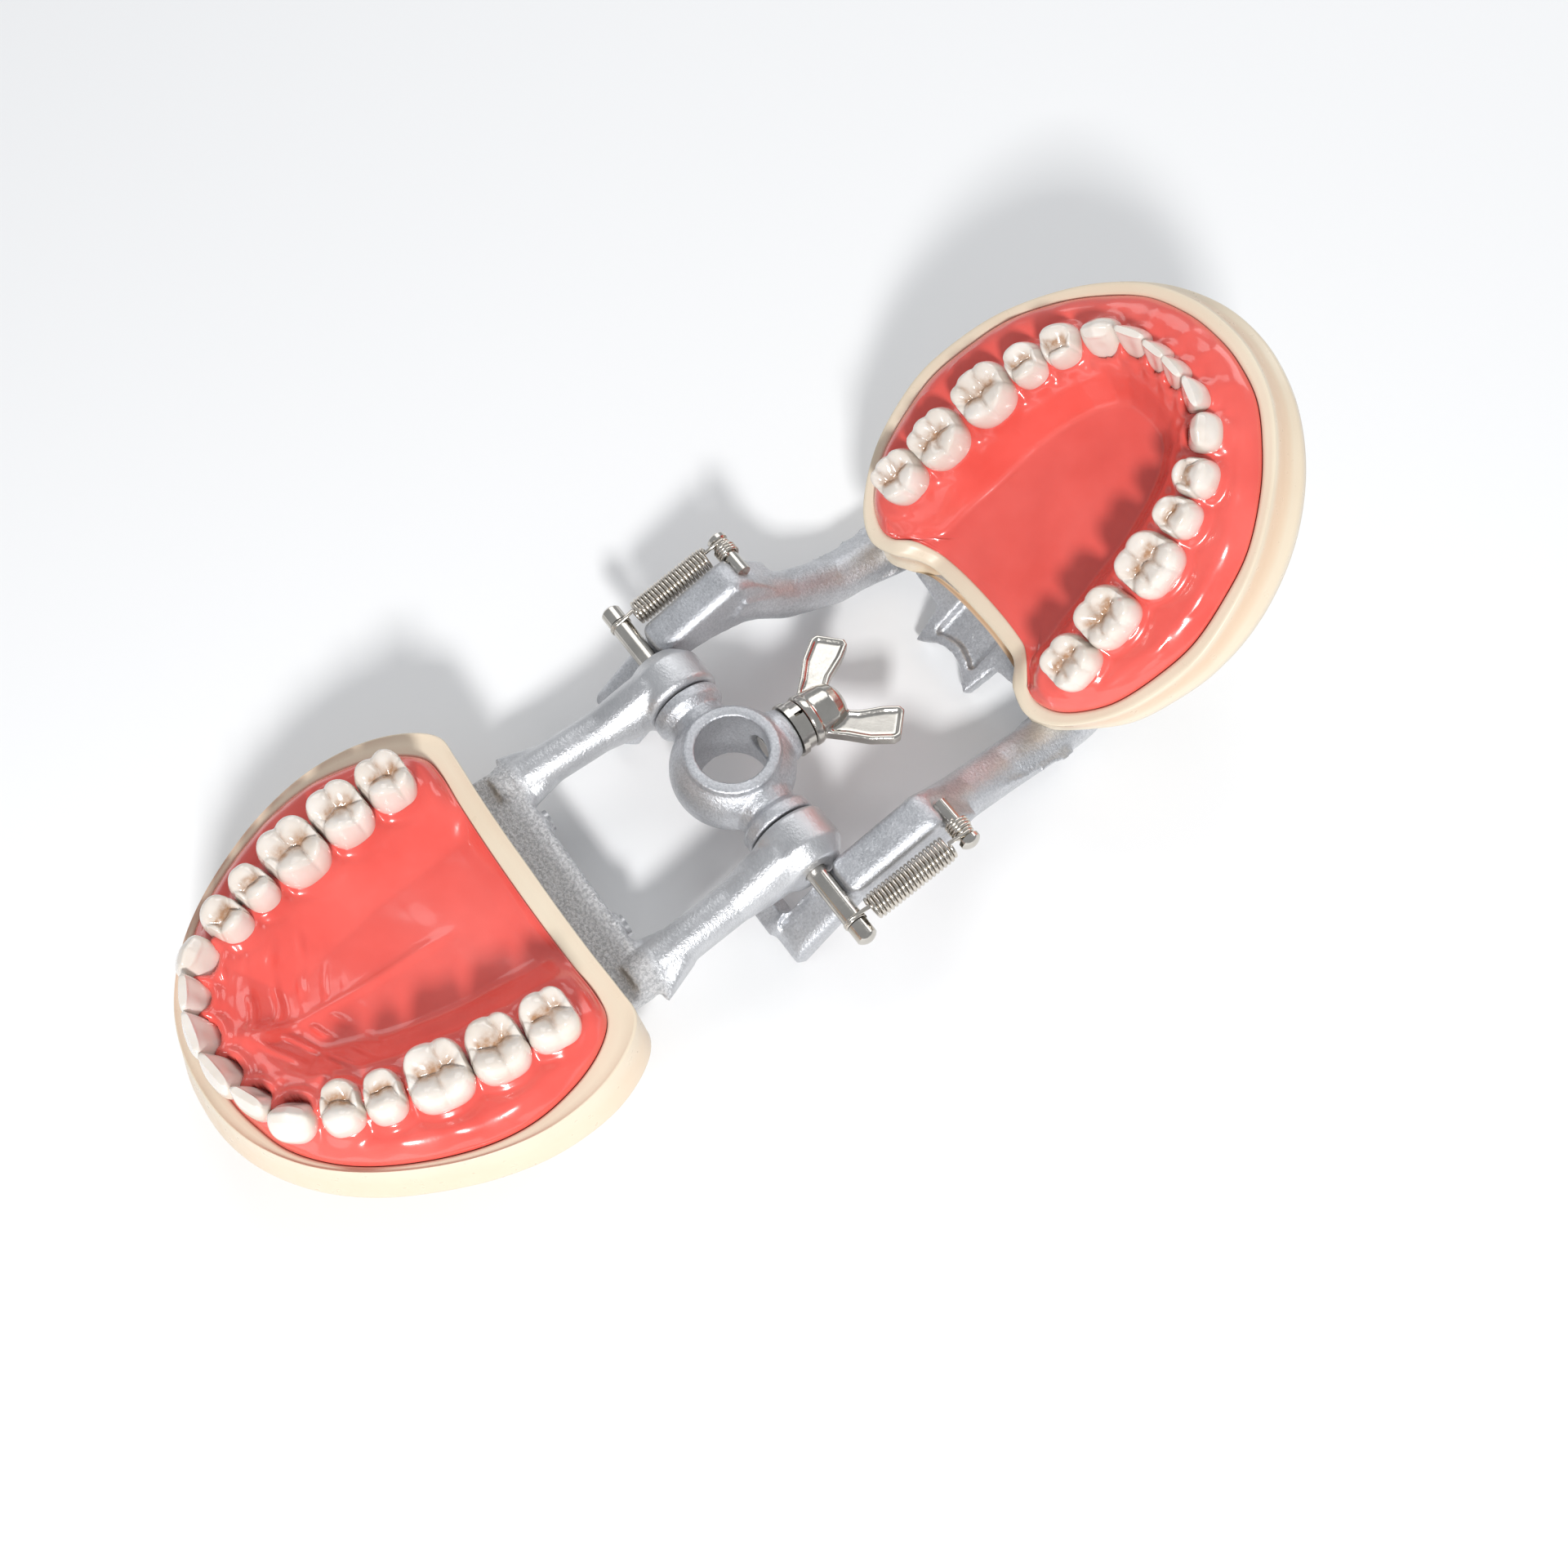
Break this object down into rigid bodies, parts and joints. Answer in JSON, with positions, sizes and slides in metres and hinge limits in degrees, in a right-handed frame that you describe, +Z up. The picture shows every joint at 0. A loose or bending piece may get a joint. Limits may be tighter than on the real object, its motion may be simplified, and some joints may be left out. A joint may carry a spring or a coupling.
{
  "type": "typodont model",
  "caption": "Dental training jaws with removable teeth, set in gums and bases on a hinged, sprung metal frame with a rod clamp hub.",
  "frame": {"origin": "centre of the hub's rod bore, on the hinge line of the two jaws", "axes": "+X along the hinge line to the patient's right, +Y from the hub towards the mandible, +Z up along the rod bore, on the side of the upper teeth's cutting faces"},
  "size_m": [0.084, 0.2235, 0.0671],
  "materials": {
    "cast_alloy": "satin, fine cast grain",
    "ivory_base": "smooth moulded resin",
    "gum": "glossy moulded resin",
    "tooth": "glossy melamine resin",
    "plated_steel": "nickel plated",
    "spring_steel": "nickel plated wire",
    "screw_steel": "machined"
  },
  "bodies": {
    "upper_jaw": {"upper_frame": "cast_alloy", "upper_base": "ivory_base", "upper_gum": "gum", "upper_tooth_screws": "screw_steel", "upper_jaw_screws": "screw_steel", "upper_clamp_screws": "screw_steel", "pin_right": "plated_steel", "pin_left": "plated_steel", "upper_right_central_incisor": "tooth", "upper_left_central_incisor": "tooth", "upper_right_lateral_incisor": "tooth", "upper_left_lateral_incisor": "tooth", "upper_right_canine": "tooth", "upper_left_canine": "tooth", "upper_right_first_premolar": "tooth", "upper_left_first_premolar": "tooth", "upper_right_second_premolar": "tooth", "upper_left_second_premolar": "tooth", "upper_right_first_molar": "tooth", "upper_left_first_molar": "tooth", "upper_right_second_molar": "tooth", "upper_left_second_molar": "tooth", "upper_right_third_molar": "tooth", "upper_left_third_molar": "tooth"},
    "hub": {"hub": "cast_alloy"},
    "clamp_washers": {"flat_washer": "plated_steel", "lock_washer": "plated_steel"},
    "wing_screw": {"wing_screw": "plated_steel"},
    "spring_pair": {"spring_right": "spring_steel", "spring_left": "spring_steel"},
    "lower_jaw": {"lower_frame": "cast_alloy", "lower_base": "ivory_base", "lower_gum": "gum", "lower_tooth_screws": "screw_steel", "lower_jaw_screws": "screw_steel", "spring_stud_right": "plated_steel", "spring_stud_left": "plated_steel", "lower_right_central_incisor": "tooth", "lower_left_central_incisor": "tooth", "lower_right_lateral_incisor": "tooth", "lower_left_lateral_incisor": "tooth", "lower_right_canine": "tooth", "lower_left_canine": "tooth", "lower_right_first_premolar": "tooth", "lower_left_first_premolar": "tooth", "lower_right_second_premolar": "tooth", "lower_left_second_premolar": "tooth", "lower_right_first_molar": "tooth", "lower_left_first_molar": "tooth", "lower_right_second_molar": "tooth", "lower_left_second_molar": "tooth", "lower_right_third_molar": "tooth", "lower_left_third_molar": "tooth"}
  },
  "joints": [
    {"name": "hub_tilt", "type": "hinge", "parent": "upper_jaw", "child": "hub", "pos_m": [0, 0, 0], "axis": [1, 0, 0], "range_deg": [-90, 90]},
    {"name": "clamp_travel", "type": "slide", "parent": "hub", "child": "clamp_washers", "axis": [0, 1, 0], "range_m": [0, 0.004]},
    {"name": "clamp_turn", "type": "hinge", "parent": "clamp_washers", "child": "wing_screw", "pos_m": [0, 0.02, 0], "axis": [0, 1, 0], "range_deg": [0, 1440]},
    {"name": "jaw_hinge", "type": "hinge", "parent": "upper_jaw", "child": "spring_pair", "pos_m": [0, 0, 0], "axis": [1, 0, 0], "range_deg": [0, 139.4]},
    {"name": "jaw_protrusion", "type": "slide", "parent": "spring_pair", "child": "lower_jaw", "axis": [0, 0.766, 0.6428], "range_m": [0, 0.004], "stiffness_N_per_m": 1600, "springref_m": -0.006, "deforming": ["spring_right", "spring_left"]}
  ],
  "couplings": [
    {"joint": "clamp_turn", "follows": "clamp_travel", "rad_per_m": 6283.2}
  ]
}
